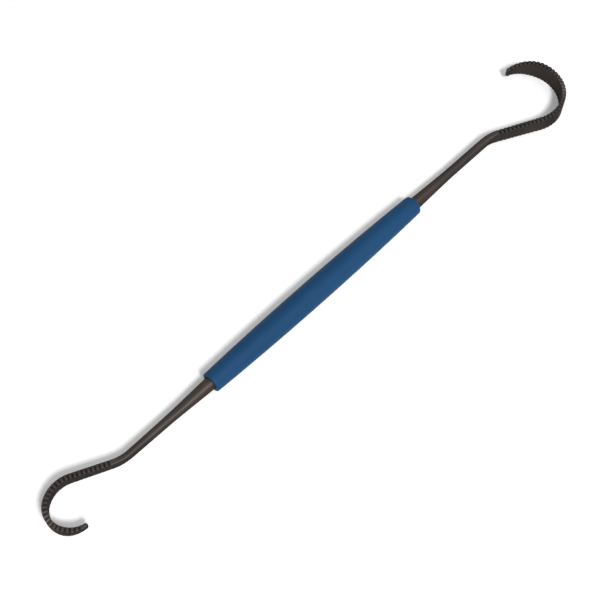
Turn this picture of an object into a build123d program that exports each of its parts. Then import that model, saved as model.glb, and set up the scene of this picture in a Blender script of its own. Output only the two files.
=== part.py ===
from build123d import *

import os
from dataclasses import dataclass
from math import radians, sqrt

# A double-ended hooked scoring tool. It lies with its length along X, both hooks in the XY plane and the
# widths of the flattened hooks along Z. The origin is the middle of the grip, on the tool's axis. The large
# hook is on the +X side. Millimetres.


@dataclass
class WorkingEnd:
    """Sizes of one forged end, from the mouth of the sleeve to the tip of the hook."""

    side: int  # +1 for the end on the +X side, -1 for the end on the -X side
    shank_length: float  # straight shank outside the sleeve
    shank_waist: float  # diameter half-way along the shank
    bend_radius: float  # the bend that sets the run off to one side of the axis
    bend_angle: float
    bend_thickness: float  # thickness lies in the XY plane
    bend_width: float  # width lies along Z
    run_length: float  # straight run from the bend to the hook
    run_thickness: float
    run_width: float
    hook_radius: float  # first, wider sweep of the hook
    hook_angle: float
    hook_start_width: float
    hook_thickness: float
    hook_width: float
    tip_radius: float  # second sweep, which carries the tip
    tip_angle: float
    tip_thickness: float
    tip_width: float
    tooth_pitch: float
    tooth_depth: float


# The sleeve.
sleeve_length = 103.0
sleeve_end_diameter = 7.6
sleeve_middle_diameter = 9.4
sleeve_wall = 1.3
sleeve_edge_radius = 0.35
sleeve_slip = 0.05  # gap between the sleeve's bore and the steel

# The joint between each end and the core, hidden inside the sleeve.
shank_cover = 14.0  # length of each shank that the sleeve covers
seam_inset = 1.0  # the turned stretch of the shank stops this far inside the sleeve
seam_step = 0.04  # and stands this much proud of the tapered one
tang_diameter = 3.0
tang_length = 12.0
solder_gap = 0.05
socket_relief = 0.6  # space left past the end of each tang

# The forged strip.
strip_edge_radius = 0.25
bend_round_share = 0.42  # corner radius where the bend starts, as a share of the thickness there
tooth_mouth = 0.66  # width of a notch at the surface, as a share of its pitch
tip_plain_length = 1.2  # length at the tip that has no notches
hook_widest_from = 0.35  # where the hook has its full width, as shares of its length
hook_widest_to = 0.68
round_share = 0.49  # corner radius of a section that counts as round, as a share of its size
bend_sections = 5  # flats that make up the bend
cap_shares = (0, 0.45, 0.75, 0.93)  # places on the rounded tip, as shares of its length

large_end = WorkingEnd(
    side=1,
    shank_length=40.4,
    shank_waist=3.65,
    bend_radius=15.2,
    bend_angle=26.0,
    bend_thickness=3.2,
    bend_width=3.8,
    run_length=18.6,
    run_thickness=1.9,
    run_width=5.3,
    hook_radius=15.2,
    hook_angle=118.0,
    hook_start_width=6.2,
    hook_thickness=1.6,
    hook_width=7.8,
    tip_radius=12.2,
    tip_angle=83.0,
    tip_thickness=1.3,
    tip_width=3.4,
    tooth_pitch=1.7,
    tooth_depth=0.65,
)

small_end = WorkingEnd(
    side=-1,
    shank_length=35.7,
    shank_waist=3.4,
    bend_radius=16.1,
    bend_angle=25.0,
    bend_thickness=2.5,
    bend_width=3.5,
    run_length=13.8,
    run_thickness=1.9,
    run_width=3.8,
    hook_radius=10.6,
    hook_angle=59.0,
    hook_start_width=4.3,
    hook_thickness=1.8,
    hook_width=4.5,
    tip_radius=8.2,
    tip_angle=146.0,
    tip_thickness=1.3,
    tip_width=2.0,
    tooth_pitch=1.5,
    tooth_depth=0.4,
)

# Worked out from the values above.
sleeve_half = sleeve_length / 2
core_half = sleeve_half - shank_cover
seam_x = sleeve_half - seam_inset  # where the turned shank passes into the tapered one
barrel_rise = (sleeve_middle_diameter - sleeve_end_diameter) / 2
barrel_radius = (sleeve_half**2 + barrel_rise**2) / (2 * barrel_rise)


def sleeve_radius(x):
    """Outer radius of the sleeve at x: its side is one long arc."""
    return sleeve_middle_diameter / 2 - barrel_radius + sqrt(barrel_radius**2 - x**2)


def bore_radius(x):
    """Radius of the sleeve's bore at x."""
    return sleeve_radius(x) - sleeve_wall


def steel_radius(x):
    """Radius of the steel under the sleeve at x."""
    return bore_radius(x) - sleeve_slip


def centreline(end):
    """The centreline of one end in the XY plane, from the sleeve's mouth to the tip."""
    with BuildLine() as line:
        shank = Line((end.side * sleeve_half, 0), (end.side * (sleeve_half + end.shank_length), 0))
        bend = JernArc(shank @ 1, shank % 1, end.bend_radius, -end.bend_angle)
        run = Line(bend @ 1, bend @ 1 + (bend % 1) * end.run_length)
        hook = JernArc(run @ 1, run % 1, end.hook_radius, end.hook_angle)
        JernArc(hook @ 1, hook % 1, end.tip_radius, end.tip_angle)
    return line.wire()


def stations(end, length):
    """Distance along the centreline, thickness, width and corner radius at each place that sets the shape."""
    mouth = 2 * (steel_radius(seam_x) - seam_step)
    bend_end = end.shank_length + end.bend_radius * radians(end.bend_angle)
    run_end = bend_end + end.run_length
    hook_length = length - run_end
    return [
        (seam_x - sleeve_half, mouth, mouth, mouth),
        (end.shank_length / 2, end.shank_waist, end.shank_waist, end.shank_waist),
        (end.shank_length, end.bend_thickness, end.bend_width, end.bend_thickness * bend_round_share),
        (bend_end, end.run_thickness, end.run_width, strip_edge_radius),
        (run_end, end.run_thickness, end.hook_start_width, strip_edge_radius),
        (run_end + hook_length * hook_widest_from, end.hook_thickness, end.hook_width, strip_edge_radius),
        (run_end + hook_length * hook_widest_to, end.hook_thickness, end.hook_width, strip_edge_radius),
        (length, end.tip_thickness, end.tip_width, strip_edge_radius),
    ]


def sizes_at(rows, distance):
    """Thickness, width and corner radius at a distance, in a straight line from one station to the next."""
    for before, after in zip(rows, rows[1:]):
        if distance <= after[0]:
            break
    share = (distance - before[0]) / (after[0] - before[0])
    return [a + (b - a) * share for a, b in zip(before[1:], after[1:])]


def place_at(path, distance):
    """Point and direction of the centreline at a distance from the sleeve's mouth, inside it too."""
    on_path = min(max(distance, 0), path.length)
    direction = path.tangent_at(on_path, PositionMode.LENGTH)
    return path.position_at(on_path, PositionMode.LENGTH) + direction * (distance - on_path), direction


def cross_section(path, distance, thickness, width, corner):
    """A rounded rectangle square to the centreline, so full at the corners that it is nearly a circle."""
    point, direction = place_at(path, distance)
    with BuildSketch(Plane(origin=point, x_dir=(0, 0, 1), z_dir=direction)) as section:
        RectangleRounded(width, thickness, min(corner, round_share * min(thickness, width)))
    return section.sketch


def notch_outline(up, width, pitch, depth):
    """A V in the upper (up = 1) or lower (up = -1) edge, carried on past the edge to cut right through."""
    reach = 2 * depth
    spread = pitch * tooth_mouth / 2 * reach / depth
    bottom = up * (width / 2 - depth)
    top = bottom + up * reach
    return (0, bottom), (spread, top), (-spread, top)


def forge(end):
    """One working end: tang, round shank, flattened run and toothed hook, in one piece of steel."""
    path = centreline(end)
    length = path.length
    rows = stations(end, length)
    run_start = rows[3][0]
    cap = end.tip_thickness / 2
    cap_start = length - cap
    teeth = int((length - tip_plain_length - run_start) / end.tooth_pitch)
    bend_step = (run_start - end.shank_length) / bend_sections
    steps = [rows[0][0], rows[1][0]]
    steps += [end.shank_length + bend_step * i for i in range(bend_sections)]
    steps += [run_start + end.tooth_pitch * i for i in range(teeth + 1)]
    with BuildPart() as piece:
        # The stretch inside the sleeve is turned to the same barrel as the core.
        with BuildSketch(Plane.XZ):
            with BuildLine():
                turned = ThreePointArc(
                    (end.side * core_half, steel_radius(core_half)),
                    (end.side * (core_half + seam_x) / 2, steel_radius((core_half + seam_x) / 2)),
                    (end.side * seam_x, steel_radius(seam_x)),
                )
                Polyline(turned @ 1, (end.side * seam_x, 0), (end.side * core_half, 0), turned @ 0)
            make_face()
        revolve(axis=Axis.X)
        # The tang.
        with BuildSketch(Plane(origin=(end.side * core_half, 0, 0), z_dir=(-end.side, 0, 0))):
            Circle(tang_diameter / 2)
        extrude(amount=tang_length)
        # The tapered shank and the flattened strip, with one flat for each tooth, then the rounded tip.
        sections = [cross_section(path, step, *sizes_at(rows, step)) for step in steps]
        for share in cap_shares:
            thickness, width, corner = sizes_at(rows, cap_start + cap * share)
            shrink = sqrt(1 - share**2)
            narrowed = width - (1 - shrink) * thickness
            sections.append(cross_section(path, cap_start + cap * share, thickness * shrink, narrowed, corner))
        loft(sections, ruled=True)
        # The notches, square across the strip in both edges.
        for i in range(teeth):
            distance = run_start + (i + 0.5) * end.tooth_pitch
            width = sizes_at(rows, distance)[1]
            point, direction = place_at(path, distance)
            with BuildSketch(Plane(origin=point, x_dir=direction, z_dir=direction.cross(Vector(0, 0, 1)))):
                for up in (1, -1):
                    Polygon(*notch_outline(up, width, end.tooth_pitch, end.tooth_depth), align=None)
        extrude(amount=end.run_thickness, both=True, mode=Mode.SUBTRACT)
    return piece


os.makedirs("parts", exist_ok=True)

# Large and small working ends, each forged, bent and notched from one rod.
large_hook_end = forge(large_end)
large_hook_end.part.label = "large_hook_end"
export_step(large_hook_end.part, "parts/large_hook_end.step")

small_hook_end = forge(small_end)
small_hook_end.part.label = "small_hook_end"
export_step(small_hook_end.part, "parts/small_hook_end.step")

# Core: a turned rod, barrelled like the sleeve, with a blind socket in each end for the tangs.
with BuildPart() as handle_core:
    with BuildSketch(Plane.XZ):
        with BuildLine():
            side = ThreePointArc(
                (-core_half, steel_radius(core_half)),
                (0, steel_radius(0)),
                (core_half, steel_radius(core_half)),
            )
            Polyline(side @ 1, (core_half, 0), (-core_half, 0), side @ 0)
        make_face()
    revolve(axis=Axis.X)
    for outward in (1, -1):
        with BuildSketch(Plane(origin=(outward * core_half, 0, 0), z_dir=(-outward, 0, 0))):
            Circle(tang_diameter / 2 + solder_gap)
        extrude(amount=tang_length + socket_relief, mode=Mode.SUBTRACT)
handle_core.part.label = "handle_core"
export_step(handle_core.part, "parts/handle_core.step")

# Sleeve: a soft tube of even wall, stretched over the steel and trimmed square at both ends.
with BuildPart() as grip_sleeve:
    with BuildSketch(Plane.XZ):
        with BuildLine():
            outside = ThreePointArc(
                (-sleeve_half, sleeve_radius(sleeve_half)),
                (0, sleeve_radius(0)),
                (sleeve_half, sleeve_radius(sleeve_half)),
            )
            inside = ThreePointArc(
                (-sleeve_half, bore_radius(sleeve_half)),
                (0, bore_radius(0)),
                (sleeve_half, bore_radius(sleeve_half)),
            )
            Line(outside @ 0, inside @ 0)
            Line(outside @ 1, inside @ 1)
        make_face()
    revolve(axis=Axis.X)
    rims = grip_sleeve.edges().filter_by(GeomType.CIRCLE).filter_by(Plane.YZ)
    fillet(rims.sort_by(SortBy.RADIUS)[-2:], sleeve_edge_radius)
grip_sleeve.part.label = "grip_sleeve"
export_step(grip_sleeve.part, "parts/grip_sleeve.step")
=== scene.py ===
from math import atan2, cos, pi, radians, sin, sqrt

import bmesh
import bpy
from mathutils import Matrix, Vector


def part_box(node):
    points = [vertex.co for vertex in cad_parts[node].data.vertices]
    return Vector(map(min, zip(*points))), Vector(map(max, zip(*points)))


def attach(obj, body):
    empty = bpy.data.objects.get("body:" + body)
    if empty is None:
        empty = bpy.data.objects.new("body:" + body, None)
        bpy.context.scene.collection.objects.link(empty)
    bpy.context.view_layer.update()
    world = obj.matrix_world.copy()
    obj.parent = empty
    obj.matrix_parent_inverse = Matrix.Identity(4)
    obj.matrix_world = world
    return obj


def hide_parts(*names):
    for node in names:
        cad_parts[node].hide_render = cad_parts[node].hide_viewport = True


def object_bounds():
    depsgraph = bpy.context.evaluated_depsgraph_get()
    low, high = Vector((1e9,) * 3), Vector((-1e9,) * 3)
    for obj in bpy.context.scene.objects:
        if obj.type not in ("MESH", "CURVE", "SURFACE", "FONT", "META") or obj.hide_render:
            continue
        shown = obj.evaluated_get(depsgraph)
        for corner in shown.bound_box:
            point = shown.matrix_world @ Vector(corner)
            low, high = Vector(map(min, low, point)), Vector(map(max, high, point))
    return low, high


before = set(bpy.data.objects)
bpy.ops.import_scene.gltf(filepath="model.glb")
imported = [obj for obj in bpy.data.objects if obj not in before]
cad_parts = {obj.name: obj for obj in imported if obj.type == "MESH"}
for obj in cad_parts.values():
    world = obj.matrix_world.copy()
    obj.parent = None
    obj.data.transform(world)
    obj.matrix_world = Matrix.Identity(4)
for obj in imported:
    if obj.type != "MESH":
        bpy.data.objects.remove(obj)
cad_low, cad_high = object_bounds()

# ---------------------------------------------------------------------------------------------------------
# Handle core. A turned steel rod, barrelled like the grip, with a socket bored in each end for the tangs.
# It is bare steel straight from the lathe and the sleeve hides it all, so its exact model is kept and only
# its finish is given here: fine turning rings round the axis.
# ---------------------------------------------------------------------------------------------------------

MM = 0.001


class Socket:
    """An output of a shader node. Arithmetic on it adds Math nodes to its tree."""

    def __init__(self, tree, output):
        self.tree = tree
        self.output = output

    def node(self, kind, settings, sockets, result=0):
        """Adds a node, its settings first and then its sockets, and gives the output asked for."""
        made = self.tree.nodes.new(kind)
        for name, value in settings.items():
            setattr(made, name, value)
        for name, value in sockets.items():
            if isinstance(value, Socket):
                self.tree.links.new(value.output, made.inputs[name])
            else:
                made.inputs[name].default_value = value
        return Socket(self.tree, made.outputs[result])

    def math(self, operation, first, second):
        return self.node("ShaderNodeMath", {"operation": operation}, {0: first, 1: second})

    def __add__(self, other):
        return self.math("ADD", self, other)

    __radd__ = __add__

    def __sub__(self, other):
        return self.math("SUBTRACT", self, other)

    def __mul__(self, other):
        return self.math("MULTIPLY", self, other)

    __rmul__ = __mul__

    def __abs__(self):
        return self.math("ABSOLUTE", self, 0.0)

    def noise(self, scale, detail=2.0, roughness=0.5):
        sockets = {"Vector": self, "Scale": scale, "Detail": detail, "Roughness": roughness}
        return self.node("ShaderNodeTexNoise", {}, sockets)

    def stretched(self, *factors):
        return self.node("ShaderNodeVectorMath", {"operation": "MULTIPLY"}, {0: self, 1: factors})

    def ramp(self, low, high, start=0.0, end=1.0):
        """Goes smoothly from start to end as the value goes from low to high."""
        sockets = {"Value": self, 1: low, 2: high, 3: start, 4: end}
        return self.node("ShaderNodeMapRange", {"interpolation_type": "SMOOTHSTEP"}, sockets)

    def blend(self, first, second):
        """Mixes two colours, with the value as the share of the second."""
        return self.node("ShaderNodeMix", {"data_type": "RGBA"}, {0: self, 6: first, 7: second}, result=2)

    def bump(self, height):
        """Surface normal from a height in metres."""
        return self.node("ShaderNodeBump", {}, {"Height": self, "Strength": 1.0, "Distance": height})


def new_material(name):
    """A material with an empty tree, its object coordinates, and its Principled shader to be filled."""
    material = bpy.data.materials.new(name)
    material.use_nodes = True
    tree = material.node_tree
    tree.nodes.clear()
    place = Socket(tree, tree.nodes.new("ShaderNodeTexCoord").outputs["Object"])
    return material, place


def finish_material(place, **sockets):
    """Adds the Principled shader and the output; an underscore in a name stands for a space."""
    named = {name.replace("_", " "): value for name, value in sockets.items()}
    shader = place.node("ShaderNodeBsdfPrincipled", {}, named)
    output = place.tree.nodes.new("ShaderNodeOutputMaterial")
    place.tree.links.new(shader.output, output.inputs["Surface"])


turned_steel, place = new_material("turned_steel")
rings = place.stretched(1.0, 0.02, 0.02).noise(9000.0, detail=1.0).ramp(0.35, 0.65)
stain = place.noise(120.0)
finish_material(
    place,
    Base_Color=(0.3 + 0.7 * stain).blend((0.30, 0.29, 0.28, 1), (0.46, 0.46, 0.47, 1)),
    Metallic=1.0,
    Roughness=0.28 + 0.14 * rings,
    Normal=rings.bump(0.004 * MM),
)
core = bpy.data.objects["handle_core"]
core.data.materials.clear()
core.data.materials.append(turned_steel)


# ---------------------------------------------------------------------------------------------------------
# Working ends. Each is one forging: a tang, a round shank that tapers out of the grip, and a strip hammered
# flat on edge, bent off the axis and curled back over it. V notches are filed across both edges, and the
# whole end has a dark hard coating that shows bronze where it is polished near the grip.
# ---------------------------------------------------------------------------------------------------------

grip_end = max(abs(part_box("grip_sleeve")[0].x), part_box("grip_sleeve")[1].x)
bronze_length = 26.0 * MM
shank_cover = 14.0 * MM
shoulder_diameter = 5.66 * MM
mouth_diameter = 4.84 * MM
tang_diameter = 3.0 * MM
tang_length = 12.0 * MM
strip_edge_radius = 0.25 * MM
bend_round_share = 0.42  # corner radius where the bend starts, as a share of the thickness there
notch_share = 2 / 3  # width of a notch at the surface, as a share of its pitch
tip_plain_length = 1.2 * MM
hook_widest = (0.35, 0.68)  # where the hook is widest, as shares of its length
steps_per_tooth = 12
cover_steps = 6
shank_steps = 60
tip_steps = 3
cap_angles = range(12, 85, 12)
corner_points = 6
wear_and_shade_depth = 0.35 * MM
wear_and_shade_reach = 1.2  # crest wear and the painted shade in the notch bottoms are full down to a fifth of the depth above, then fade
inner_shade = 0.32  # how much painted shade darkens the inside of the hook
inner_face = 0.45  # the inside starts this far from the middle, as a share of the thickness
shade_length = 8.0 * MM
edge_shares = (0.2, 0.5, 0.8)  # extra points on the narrow sides, as shares of their length
face_depths = (0.55 * MM, 0.75 * MM)  # and on the wide sides, at these depths past each corner
face_limits = (0.2, 0.35)  # but no further than these shares of the side


def smooth_law(rows):
    """A function through the rows (distance, value, value, ...) with no overshoot between them."""
    slopes = []
    for i, row in enumerate(rows):
        before = rows[max(i - 1, 0)]
        after = rows[min(i + 1, len(rows) - 1)]
        slope = []
        for k in range(1, len(row)):
            left = (row[k] - before[k]) / (row[0] - before[0]) if before is not row else 0.0
            right = (after[k] - row[k]) / (after[0] - row[0]) if after is not row else 0.0
            if before is row or after is row:
                slope.append(left + right)
            else:
                slope.append(0.0 if left * right <= 0 else 2 * left * right / (left + right))
        slopes.append(slope)

    def law(distance):
        i = 0
        while i < len(rows) - 2 and distance > rows[i + 1][0]:
            i += 1
        span = rows[i + 1][0] - rows[i][0]
        u = min(max((distance - rows[i][0]) / span, 0.0), 1.0)
        start, end = 2 * u**3 - 3 * u**2 + 1, 3 * u**2 - 2 * u**3
        start_slope, end_slope = u**3 - 2 * u**2 + u, u**3 - u**2
        return [
            start * rows[i][k] + end * rows[i + 1][k]
            + span * (start_slope * slopes[i][k - 1] + end_slope * slopes[i + 1][k - 1])
            for k in range(1, len(rows[i]))
        ]

    return law


def place_along(pieces, start, distance):
    """Point and heading at a distance along straight and curved pieces, each a length and a turn."""
    x, y, heading = start
    if distance < 0:
        return x + distance * cos(heading), y + distance * sin(heading), heading
    for length, turn in pieces:
        part = min(distance, length)
        angle = turn * part / length
        if abs(turn) < 1e-9:
            x += part * cos(heading)
            y += part * sin(heading)
        else:
            radius = length / turn
            x += radius * (sin(heading + angle) - sin(heading))
            y -= radius * (cos(heading + angle) - cos(heading))
        heading += angle
        distance -= part
        if distance <= 0:
            break
    return x, y, heading


def rounded_section(thickness, width, corner):
    """Points round a rounded rectangle, as (across the thickness, across the width)."""
    corner = min(corner, thickness / 2 * 0.999, width / 2 * 0.999)
    inner_u, inner_v = thickness / 2 - corner, width / 2 - corner
    points = []
    for quarter in range(4):
        side_u, side_v = ((1, 1), (-1, 1), (-1, -1), (1, -1))[quarter]
        for i in range(corner_points):
            angle = (quarter + i / (corner_points - 1)) * pi / 2
            points.append((side_u * inner_u + corner * cos(angle), side_v * inner_v + corner * sin(angle)))
        next_u, next_v = ((-1, 1), (-1, -1), (1, -1), (1, 1))[quarter]
        angle = (quarter + 1) * pi / 2
        u0, v0 = points[-1]
        u1, v1 = next_u * inner_u + corner * cos(angle), next_v * inner_v + corner * sin(angle)
        shares = edge_shares
        if quarter % 2:
            near, far = [min(d / abs(v1 - v0), limit) for d, limit in zip(face_depths, face_limits)]
            shares = (near, far, 0.5, 1 - far, 1 - near)
        points += [(u0 + (u1 - u0) * share, v0 + (v1 - v0) * share) for share in shares]
    return points


def add_finished_mesh(name, mesh, sharp_angle, material, node):
    """Writes the mesh out as a piece that stands for a CAD node, with edges over the angle kept sharp."""
    bmesh.ops.recalc_face_normals(mesh, faces=mesh.faces)
    for face in mesh.faces:
        face.smooth = True
    for edge in mesh.edges:
        edge.smooth = edge.calc_face_angle(0.0) < sharp_angle
    data = bpy.data.meshes.new(name)
    mesh.to_mesh(data)
    mesh.free()
    data.materials.append(material)
    piece = bpy.data.objects.new(name, data)
    bpy.context.collection.objects.link(piece)
    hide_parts(node)
    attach(piece, "root")


def skin(mesh, rings_of_points, wear_and_shade_of_points, along):
    """Joins rings of points into a closed skin, with a UV map of distance along and round it."""
    # each point keeps its wear on the tooth crests and its painted shade in the notches and inside the hook
    wear_and_shade = mesh.verts.layers.float.new("wear_and_shade")
    uv = mesh.loops.layers.uv.new("along")
    rows = []
    for points, worn_and_shaded in zip(rings_of_points, wear_and_shade_of_points):
        row = [mesh.verts.new(point) for point in points]
        for vertex, amount in zip(row, worn_and_shaded):
            vertex[wear_and_shade] = amount
        rows.append(row)
    count = len(rows[0])
    for i in range(len(rows) - 1):
        for j in range(count):
            k = (j + 1) % count
            face = mesh.faces.new((rows[i][j], rows[i][k], rows[i + 1][k], rows[i + 1][j]))
            corners = ((along[i], j), (along[i], j + 1), (along[i + 1], j + 1), (along[i + 1], j))
            for loop, (distance, step) in zip(face.loops, corners):
                loop[uv].uv = (distance, step / count)
    for row in (rows[0], rows[-1]):
        middle = sum((vertex.co for vertex in row), Vector()) / count
        centre = mesh.verts.new(middle)
        for j in range(count):
            mesh.faces.new((row[j], row[(j + 1) % count], centre))


def forged_end(name, node, side, shank, waist, bend, strip, run, hook, tip, teeth):
    """One working end. The rows give thickness, width and corner radius at distances from the grip."""
    mouth_x = side * grip_end
    bend_radius, bend_angle = bend
    run_length, run_thickness, run_width, run_end_width = run
    hook_radius, hook_angle, hook_thickness, hook_width = hook
    tip_radius, tip_angle, tip_thickness, tip_width = tip
    pitch, depth = teeth
    pieces = [
        (shank, 0.0),
        (bend_radius * radians(bend_angle), -radians(bend_angle)),
        (run_length, 0.0),
        (hook_radius * radians(hook_angle), radians(hook_angle)),
        (tip_radius * radians(tip_angle), radians(tip_angle)),
    ]
    start = (mouth_x, 0.0, 0.0 if side > 0 else pi)
    run_start = pieces[0][0] + pieces[1][0]
    run_end = run_start + run_length
    length = sum(piece_length for piece_length, turn in pieces)
    hook_length = length - run_end
    law = smooth_law([
        (-shank_cover, shoulder_diameter, shoulder_diameter, shoulder_diameter / 2),
        (0.0, mouth_diameter, mouth_diameter, mouth_diameter / 2),
        (shank * 0.5, waist, waist, waist / 2),
        (shank, strip[0], strip[1], strip[0] * bend_round_share),
        (run_start, run_thickness, run_width, strip_edge_radius),
        (run_end, run_thickness, run_end_width, strip_edge_radius),
        (run_end + hook_length * hook_widest[0], hook_thickness, hook_width, strip_edge_radius),
        (run_end + hook_length * hook_widest[1], hook_thickness, hook_width, strip_edge_radius),
        (length, tip_thickness, tip_width, strip_edge_radius),
    ])
    cap = tip_thickness / 2
    count = int((length - tip_plain_length - run_start) / pitch)
    distances = [-shank_cover + shank_cover * i / cover_steps for i in range(cover_steps)]
    distances += [run_start * i / shank_steps for i in range(shank_steps)]
    fine = pitch / steps_per_tooth
    distances += [run_start + fine * i for i in range(count * steps_per_tooth + 1)]
    plain = length - cap - distances[-1]
    distances += [distances[-1] + plain * (i + 1) / tip_steps for i in range(tip_steps)]
    distances += [length - cap + cap * sin(radians(angle)) for angle in cap_angles]
    rings_of_points, wear_and_shade_of_points, along = [], [], []
    for distance in (-shank_cover - tang_length, -shank_cover):
        x, y, heading = place_along(pieces, start, distance)
        section = rounded_section(tang_diameter, tang_diameter, tang_diameter / 2)
        rings_of_points.append([(x, y - u * cos(heading), v) for u, v in section])
        wear_and_shade_of_points.append([0.0] * len(section))
        along.append(distance)
    for distance in distances:
        thickness, width, corner = law(distance)
        x, y, heading = place_along(pieces, start, distance)
        tooth = (distance - run_start) / pitch
        notch = 0.0
        if 0 < tooth < count:
            from_middle = abs(tooth % 1.0 - 0.5) * 2
            notch = depth * max(0.0, 1 - from_middle / notch_share)
        if distance > length - cap:
            shrink = sqrt(max(0.0, 1 - ((distance - length + cap) / cap) ** 2))
            width -= (1 - shrink) * thickness
            thickness *= shrink
        section = rounded_section(thickness, width, corner)
        floor = width / 2 - notch
        across_x, across_y = -sin(heading), cos(heading)
        rings_of_points.append([
            (x - u * across_x, y - u * across_y, max(-floor, min(floor, v))) for u, v in section
        ])
        on_strip = min(max((distance - shank) / (run_start - shank), 0.0), 1.0)
        crest = on_strip * (1.0 - 2.0 * notch / depth)
        in_hook = min(max((distance - run_end) / shade_length, 0.0), 1.0)
        # Near the edges, positive values are wear on the tooth crests and negative ones are painted shade in
        # the notch bottoms; the inside face of the hook gets painted shade too.
        wear_and_shade_of_points.append([
            crest * min(1.0, max(0.0, wear_and_shade_reach - (floor - abs(v)) / wear_and_shade_depth))
            - (inner_shade * in_hook if u < -thickness * inner_face else 0.0)
            for u, v in section
        ])
        along.append(distance)
    mesh = bmesh.new()
    skin(mesh, rings_of_points, wear_and_shade_of_points, along)
    add_finished_mesh(name, mesh, radians(32), coated_steel, node)


coated_steel, place = new_material("coated_steel")
lengthwise = place.node("ShaderNodeUVMap", {"uv_map": "along"}, {})
wear_and_shade = place.node("ShaderNodeAttribute", {"attribute_name": "wear_and_shade"}, {}, result=2)
reach = abs(place.node("ShaderNodeSeparateXYZ", {}, {0: place}))
near_grip = reach.ramp(grip_end, grip_end + bronze_length, 1.0, 0.0)
mottle = place.noise(95.0, detail=4.0, roughness=0.6)
grain = place.noise(1500.0, detail=3.0, roughness=0.6)
strokes = lengthwise.stretched(90.0, 60.0, 1.0).noise(4.0, detail=3.0)
dark = mottle.ramp(0.35, 0.65).blend((0.041, 0.037, 0.035, 1), (0.054, 0.045, 0.040, 1))
bronzed = (near_grip * strokes.ramp(0.3, 0.7, 0.25, 1.0)).blend(dark, (0.060, 0.047, 0.040, 1))
rubbed = (wear_and_shade.ramp(0.0, 1.0) * grain.ramp(0.3, 0.6) * 0.16).blend(bronzed, (0.10, 0.093, 0.087, 1))
# Painted shade: the notch bottoms and the inside of the hook are darkened towards near black.
with_painted_shade = (-0.45 * wear_and_shade).blend(rubbed, (0.018, 0.016, 0.015, 1))
finish_material(
    place,
    Base_Color=with_painted_shade,
    Metallic=0.85,
    Roughness=0.38 + 0.10 * strokes + 0.10 * grain - 0.04 * near_grip,
    Specular_Tint=(0.30, 0.28, 0.27, 1),
    Normal=(strokes * 0.6 + grain * 0.4).bump(0.012 * MM),
)

forged_end(
    "large_hook_forging",
    "large_hook_end",
    side=1,
    shank=40.4 * MM,
    waist=3.65 * MM,
    bend=(15.2 * MM, 26.0),
    strip=(3.2 * MM, 3.8 * MM),
    run=(18.6 * MM, 1.9 * MM, 5.3 * MM, 6.2 * MM),
    hook=(15.2 * MM, 118.0, 1.6 * MM, 7.8 * MM),
    tip=(12.2 * MM, 83.0, 1.3 * MM, 3.4 * MM),
    teeth=(1.7 * MM, 0.65 * MM),
)

forged_end(
    "small_hook_forging",
    "small_hook_end",
    side=-1,
    shank=35.7 * MM,
    waist=3.4 * MM,
    bend=(16.1 * MM, 25.0),
    strip=(2.5 * MM, 3.5 * MM),
    run=(13.8 * MM, 1.9 * MM, 3.8 * MM, 4.3 * MM),
    hook=(10.6 * MM, 59.0, 1.8 * MM, 4.5 * MM),
    tip=(8.2 * MM, 146.0, 1.3 * MM, 2.0 * MM),
    teeth=(1.5 * MM, 0.4 * MM),
)


# ---------------------------------------------------------------------------------------------------------
# Grip sleeve. A soft blue rubber tube of even wall, stretched on over the barrelled steel and trimmed square
# at both ends, so that it follows the barrel. Its surface is smooth, with the fine skin of moulded rubber.
# ---------------------------------------------------------------------------------------------------------

sleeve_low, sleeve_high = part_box("grip_sleeve")
sleeve_half = sleeve_high.x
middle_radius = (sleeve_high.z - sleeve_low.z) / 2
end_radius = 3.8 * MM
sleeve_wall = 1.3 * MM
rim_radius = 0.42 * MM
lip_radius = 0.16 * MM
rim_steps = 6
sides_round = 96
stations_along = 72


def barrel(x):
    """Outer radius of the sleeve at x: one long arc from end to end."""
    rise = middle_radius - end_radius
    arc = (sleeve_half**2 + rise**2) / (2 * rise)
    return middle_radius - arc + sqrt(arc**2 - x**2)


def rounding(x_sign, centre_x, centre_radius, radius, first, last):
    """Points of a rounded corner in the sleeve's half profile."""
    angles = [radians(first + (last - first) * i / rim_steps) for i in range(rim_steps + 1)]
    return [(centre_x + x_sign * radius * cos(a), centre_radius + radius * sin(a)) for a in angles]


body = sleeve_half - rim_radius
shares = [i / stations_along for i in range(stations_along + 1)]
outside = [(x, barrel(x)) for x in [-body + 2 * body * share for share in shares]]
bore_end = barrel(sleeve_half) - sleeve_wall
bore = sleeve_half - lip_radius
inside = [(x, barrel(x) - sleeve_wall) for x in [bore - 2 * bore * share for share in shares]]
right_rim = rounding(1, body, barrel(body) - rim_radius, rim_radius, 90, 0)[1:]
right_lip = rounding(1, bore, bore_end + lip_radius, lip_radius, 0, -90)[:-1]
left_lip = rounding(-1, -bore, bore_end + lip_radius, lip_radius, -90, 0)[1:]
left_rim = rounding(-1, -body, barrel(body) - rim_radius, rim_radius, 0, 90)[:-1]
profile = outside + right_rim + right_lip + inside + left_lip + left_rim

mesh = bmesh.new()
uv = mesh.loops.layers.uv.new("along")
columns = []
for j in range(sides_round):
    turn = 2 * pi * j / sides_round
    columns.append([mesh.verts.new((x, radius * cos(turn), radius * sin(turn))) for x, radius in profile])
for j in range(sides_round):
    here, there = columns[j], columns[(j + 1) % sides_round]
    for i in range(len(profile)):
        k = (i + 1) % len(profile)
        face = mesh.faces.new((here[i], here[k], there[k], there[i]))
        for loop, step in zip(face.loops, (j, j, j + 1, j + 1)):
            loop[uv].uv = (loop.vert.co.x, step / sides_round)

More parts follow.
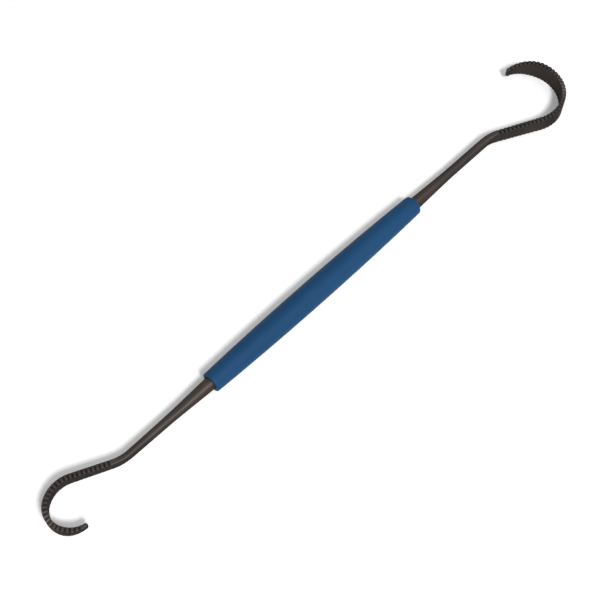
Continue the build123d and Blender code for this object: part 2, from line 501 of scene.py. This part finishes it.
blue_rubber, place = new_material("blue_rubber")
clouds = place.stretched(0.6, 1.0, 1.0).noise(75.0, detail=3.0)
skin_grain = place.noise(2600.0, detail=2.0)
scuffs = place.noise(520.0, detail=5.0, roughness=0.7).ramp(0.60, 0.78)
blue = clouds.ramp(0.3, 0.7).blend((0.0052, 0.048, 0.128, 1), (0.0072, 0.055, 0.142, 1))
finish_material(
    place,
    Base_Color=(scuffs * 0.08).blend(blue, (0.05, 0.10, 0.16, 1)),
    Roughness=0.58 + 0.10 * clouds + 0.10 * scuffs,
    Specular_IOR_Level=0.18,
    Normal=(skin_grain + 0.5 * scuffs).bump(0.010 * MM),
)
add_finished_mesh(
    "soft_grip_sleeve", mesh, radians(50), blue_rubber, node="grip_sleeve"
)


# ---------------------------------------------------------------------------------------------------------
# Table. A wide white sheet that the tool lies on: the belly of the grip touches it, and so does the lower
# edge of the large hook, so the sheet leans by a third of a degree. It shows white and keeps the shadow.
# ---------------------------------------------------------------------------------------------------------

hook_low, hook_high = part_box("large_hook_end")
hook_contact = 12.0 * MM  # how far inside the hook's end it touches the table
lean = atan2(hook_low.z - cad_low.z, hook_high.x - hook_contact)
table_half = 3.0
mesh = bmesh.new()
corners = ((-1, -1), (1, -1), (1, 1), (-1, 1))
mesh.faces.new([
    mesh.verts.new((x * table_half, y * table_half, cad_low.z + x * table_half * sin(lean)))
    for x, y in corners
])
data = bpy.data.meshes.new("table")
mesh.to_mesh(data)
mesh.free()
table = bpy.data.objects.new("table", data)
bpy.context.collection.objects.link(table)


def seen_rays(tree):
    """One for the rays that show a surface to the camera, straight or through metal and glass."""
    rays = tree.nodes.new("ShaderNodeLightPath")
    kinds = ("Is Camera Ray", "Is Glossy Ray", "Is Transmission Ray")
    straight, mirrored, passed = [Socket(tree, rays.outputs[kind]) for kind in kinds]
    return straight + mirrored + passed


table_white, place = new_material("table_white")
finish_material(
    place,
    Base_Color=(0.94, 0.94, 0.94, 1),
    Roughness=0.9,
    Specular_IOR_Level=0.0,
    Emission_Color=seen_rays(place.tree).blend((0, 0, 0, 1), (0.19, 0.19, 0.19, 1)),
    Emission_Strength=1.0,
)
data.materials.append(table_white)


# ---------------------------------------------------------------------------------------------------------
# Light. A soft lamp to the right of the camera throws the shadow to the left. A weaker and wider one stands
# further round on the same side, and a dim room lights the rest. The room itself is seen as white.
# ---------------------------------------------------------------------------------------------------------


def soft_lamp(name, azimuth, elevation, distance, size, power):
    """A square area lamp that faces the origin. Azimuth is measured as the camera's is."""
    data = bpy.data.lights.new(name, "AREA")
    data.shape = "SQUARE"
    data.size = size
    data.energy = power
    lamp = bpy.data.objects.new(name, data)
    a, e = radians(azimuth), radians(elevation)
    towards = Vector((sin(a) * cos(e), -cos(a) * cos(e), sin(e)))
    lamp.location = towards * distance
    lamp.rotation_euler = (-towards).to_track_quat("-Z", "Y").to_euler()
    bpy.context.collection.objects.link(lamp)


camera_azimuth = -45.38
camera_elevation = 59.97
soft_lamp("key_lamp", camera_azimuth + 27, 51, 1.6, 0.32, 21.5)
soft_lamp("side_lamp", camera_azimuth + 97, 56, 1.6, 0.7, 3.4)

world = bpy.data.worlds.new("room")
world.use_nodes = True
bpy.context.scene.world = world
world.node_tree.nodes.clear()
room = seen_rays(world.node_tree).blend((0.25, 0.25, 0.25, 1), (1, 1, 1, 1))
background = room.node("ShaderNodeBackground", {}, {"Color": room, "Strength": 1.0})
room_output = world.node_tree.nodes.new("ShaderNodeOutputWorld")
world.node_tree.links.new(background.output, room_output.inputs["Surface"])


# ---------------------------------------------------------------------------------------------------------
# Camera. It stands close to the tool and looks down at sixty degrees, turned so that the grip runs from the
# lower left to the upper right, with the large hook at the far end.
# ---------------------------------------------------------------------------------------------------------

camera_data = bpy.data.cameras.new("camera")
camera_data.sensor_width = 36.0
camera_data.lens = 64.97
camera = bpy.data.objects.new("camera", camera_data)
bpy.context.collection.objects.link(camera)
aim = Vector((-7.135, 1.27, 0.0)) * MM
camera_distance = 382.55 * MM
a, e = radians(camera_azimuth), radians(camera_elevation)
back = Vector((sin(a) * cos(e), -cos(a) * cos(e), sin(e)))
camera.location = aim + back * camera_distance
camera.rotation_mode = "QUATERNION"
camera.rotation_quaternion = (-back).to_track_quat("-Z", "Y")
camera_data.clip_start = 0.01
camera_data.clip_end = 20.0
bpy.context.scene.camera = camera
bpy.context.scene.view_settings.view_transform = "Standard"
